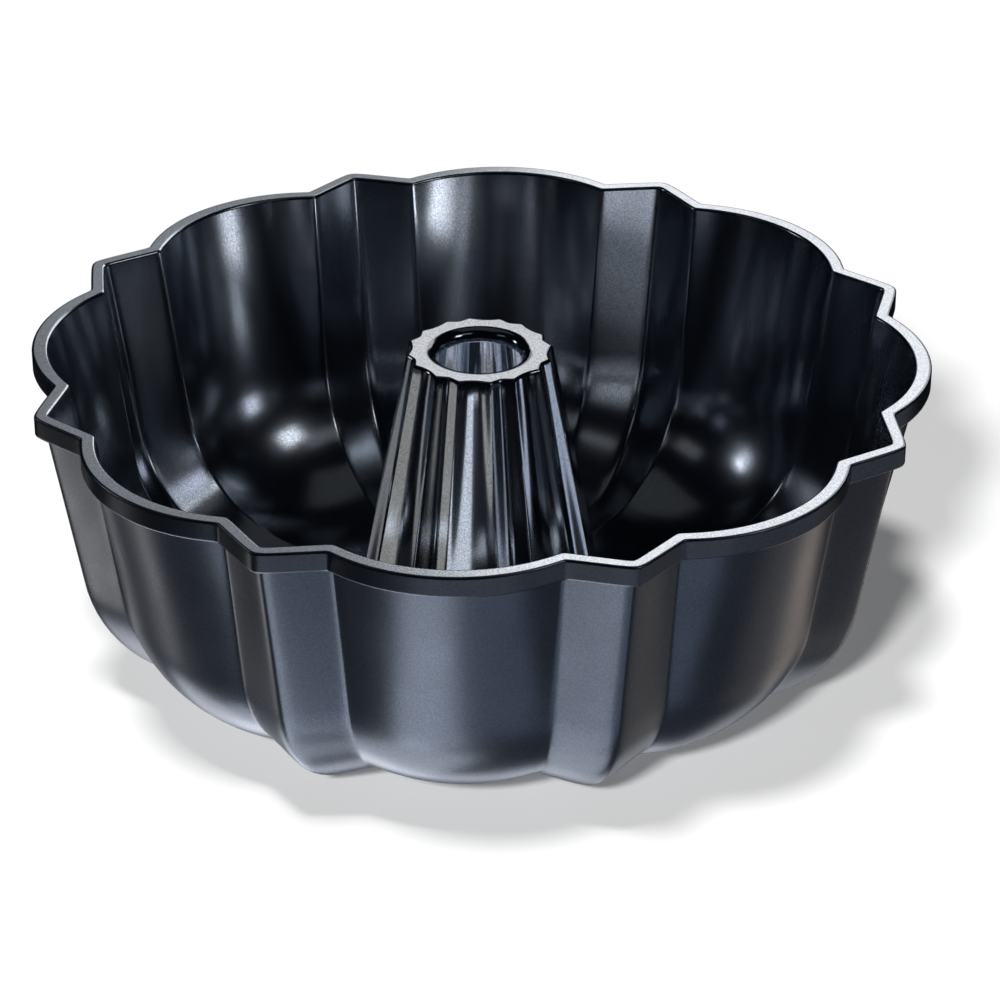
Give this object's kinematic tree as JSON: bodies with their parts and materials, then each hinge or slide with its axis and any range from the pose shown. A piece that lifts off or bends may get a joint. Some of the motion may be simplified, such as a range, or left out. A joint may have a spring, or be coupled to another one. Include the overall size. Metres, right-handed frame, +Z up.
{
  "type": "fluted tube pan",
  "caption": "Round cake mould with a fluted wall of V ridges and round lobes, a flat-topped rim with a skirt, and a hollow fluted tube in the middle.",
  "frame": {"origin": "on the pan's axis, in the plane that the pan stands on", "axes": "+Z up the pan's axis towards the open rim; +X through the middle of one round lobe, +Y through the middle of the lobe a quarter turn on"},
  "size_m": [0.2632, 0.2632, 0.0961],
  "materials": {
    "pan_body": "satin slate blue-grey coating outside, glossy near-black release coating inside",
    "centre_tube": "glossy near-black release coating"
  },
  "bodies": {
    "root": {"pan_body": "pan_body", "centre_tube": "centre_tube"}
  },
  "joints": []
}
